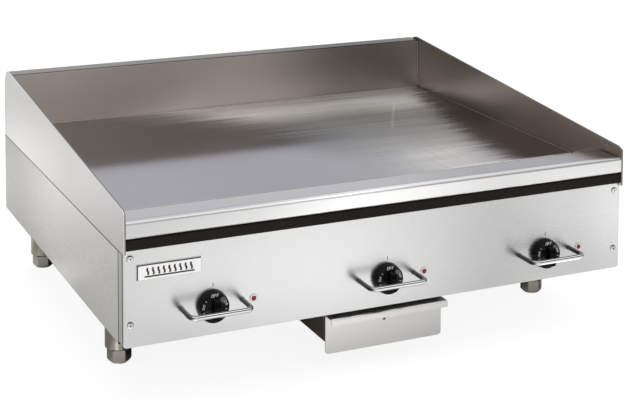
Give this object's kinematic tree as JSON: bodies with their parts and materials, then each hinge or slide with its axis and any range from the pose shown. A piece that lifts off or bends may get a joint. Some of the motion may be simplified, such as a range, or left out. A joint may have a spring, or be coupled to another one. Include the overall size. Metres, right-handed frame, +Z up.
{
  "type": "flat top griddle",
  "caption": "Countertop electric griddle with a polished plate inside tapered splash walls, guarded control knobs, a pull-out grease drawer and adjustable legs.",
  "frame": {"origin": "on the floor plane, under the middle of the whole object's box, knob guards and rear screw heads included", "axes": "+X to the griddle's right as seen from the front, +Y to its back, +Z up"},
  "size_m": [0.9144, 0.8454, 0.3825],
  "materials": {
    "cooking_steel": "ground and polished",
    "panel_steel": "brushed along the width",
    "splash_steel": "brushed",
    "drawer_steel": "brushed",
    "zinc_steel": "galvanised",
    "black_enamel": "gloss",
    "white_enamel": "satin",
    "chrome": "polished",
    "leg_plating": "nickel plated",
    "knob_plastic": "gloss",
    "lamp_red": "translucent red",
    "element_sheath": "oxidised",
    "fixings": "zinc plated",
    "ceramic_fibre": "felted",
    "switch_plastic": "moulded",
    "copper": "drawn",
    "wire_sleeve": "braided"
  },
  "bodies": {
    "chassis": {"griddle_plate": "cooking_steel", "front_control_panel": "panel_steel", "left_side_panel": "panel_steel", "right_side_panel": "panel_steel", "front_nose": "panel_steel", "grease_trough": "panel_steel", "left_splash": "splash_steel", "right_splash": "splash_steel", "back_splash": "splash_steel", "rear_panel": "zinc_steel", "bottom_pan": "zinc_steel", "drain_chute": "zinc_steel", "front_cross_rail": "zinc_steel", "rear_cross_rail": "zinc_steel", "left_plate_rail": "zinc_steel", "right_plate_rail": "zinc_steel", "insulation_tray": "zinc_steel", "left_drawer_guide": "zinc_steel", "right_drawer_guide": "zinc_steel", "element_clamp_bars": "zinc_steel", "trim_strip": "black_enamel", "badge_plate": "white_enamel", "left_knob_guard": "chrome", "centre_knob_guard": "chrome", "right_knob_guard": "chrome", "lamp_bezels": "chrome", "front_left_leg": "leg_plating", "front_right_leg": "leg_plating", "rear_left_leg": "leg_plating", "rear_right_leg": "leg_plating", "left_pilot_lamp": "lamp_red", "centre_pilot_lamp": "lamp_red", "right_pilot_lamp": "lamp_red", "left_heating_element": "element_sheath", "centre_heating_element": "element_sheath", "right_heating_element": "element_sheath", "clamp_studs": "fixings", "guard_nuts": "fixings", "leg_nuts": "fixings", "control_panel_screws": "fixings", "rear_panel_screws": "fixings", "insulation_blanket": "ceramic_fibre", "left_thermostat": "switch_plastic", "centre_thermostat": "switch_plastic", "right_thermostat": "switch_plastic", "terminal_block": "switch_plastic", "temperature_sensors": "copper", "wiring_harness": "wire_sleeve"},
    "left_knob": {"left_knob": "knob_plastic", "left_thermostat_shaft": "fixings"},
    "centre_knob": {"centre_knob": "knob_plastic", "centre_thermostat_shaft": "fixings"},
    "right_knob": {"right_knob": "knob_plastic", "right_thermostat_shaft": "fixings"},
    "grease_drawer": {"drawer_front": "drawer_steel", "drawer_pan": "drawer_steel"},
    "front_left_foot": {"front_left_foot": "leg_plating"},
    "front_right_foot": {"front_right_foot": "leg_plating"},
    "rear_left_foot": {"rear_left_foot": "leg_plating"},
    "rear_right_foot": {"rear_right_foot": "leg_plating"}
  },
  "joints": [
    {"name": "left_knob_turn", "type": "hinge", "parent": "chassis", "child": "left_knob", "pos_m": [-0.3114, -0.38472, 0.1481], "axis": [0, 1, 0], "range_deg": [0, 290]},
    {"name": "centre_knob_turn", "type": "hinge", "parent": "chassis", "child": "centre_knob", "pos_m": [-0.0049, -0.38472, 0.1481], "axis": [0, 1, 0], "range_deg": [0, 290]},
    {"name": "right_knob_turn", "type": "hinge", "parent": "chassis", "child": "right_knob", "pos_m": [0.3016, -0.38472, 0.1481], "axis": [0, 1, 0], "range_deg": [0, 290]},
    {"name": "drawer_slide", "type": "slide", "parent": "chassis", "child": "grease_drawer", "axis": [0, -1, 0], "range_m": [0, 0.33]},
    {"name": "front_left_foot_screw", "type": "slide", "parent": "chassis", "child": "front_left_foot", "axis": [0, 0, -1], "range_m": [0, 0.025]},
    {"name": "front_right_foot_screw", "type": "slide", "parent": "chassis", "child": "front_right_foot", "axis": [0, 0, -1], "range_m": [0, 0.025]},
    {"name": "rear_left_foot_screw", "type": "slide", "parent": "chassis", "child": "rear_left_foot", "axis": [0, 0, -1], "range_m": [0, 0.025]},
    {"name": "rear_right_foot_screw", "type": "slide", "parent": "chassis", "child": "rear_right_foot", "axis": [0, 0, -1], "range_m": [0, 0.025]}
  ]
}
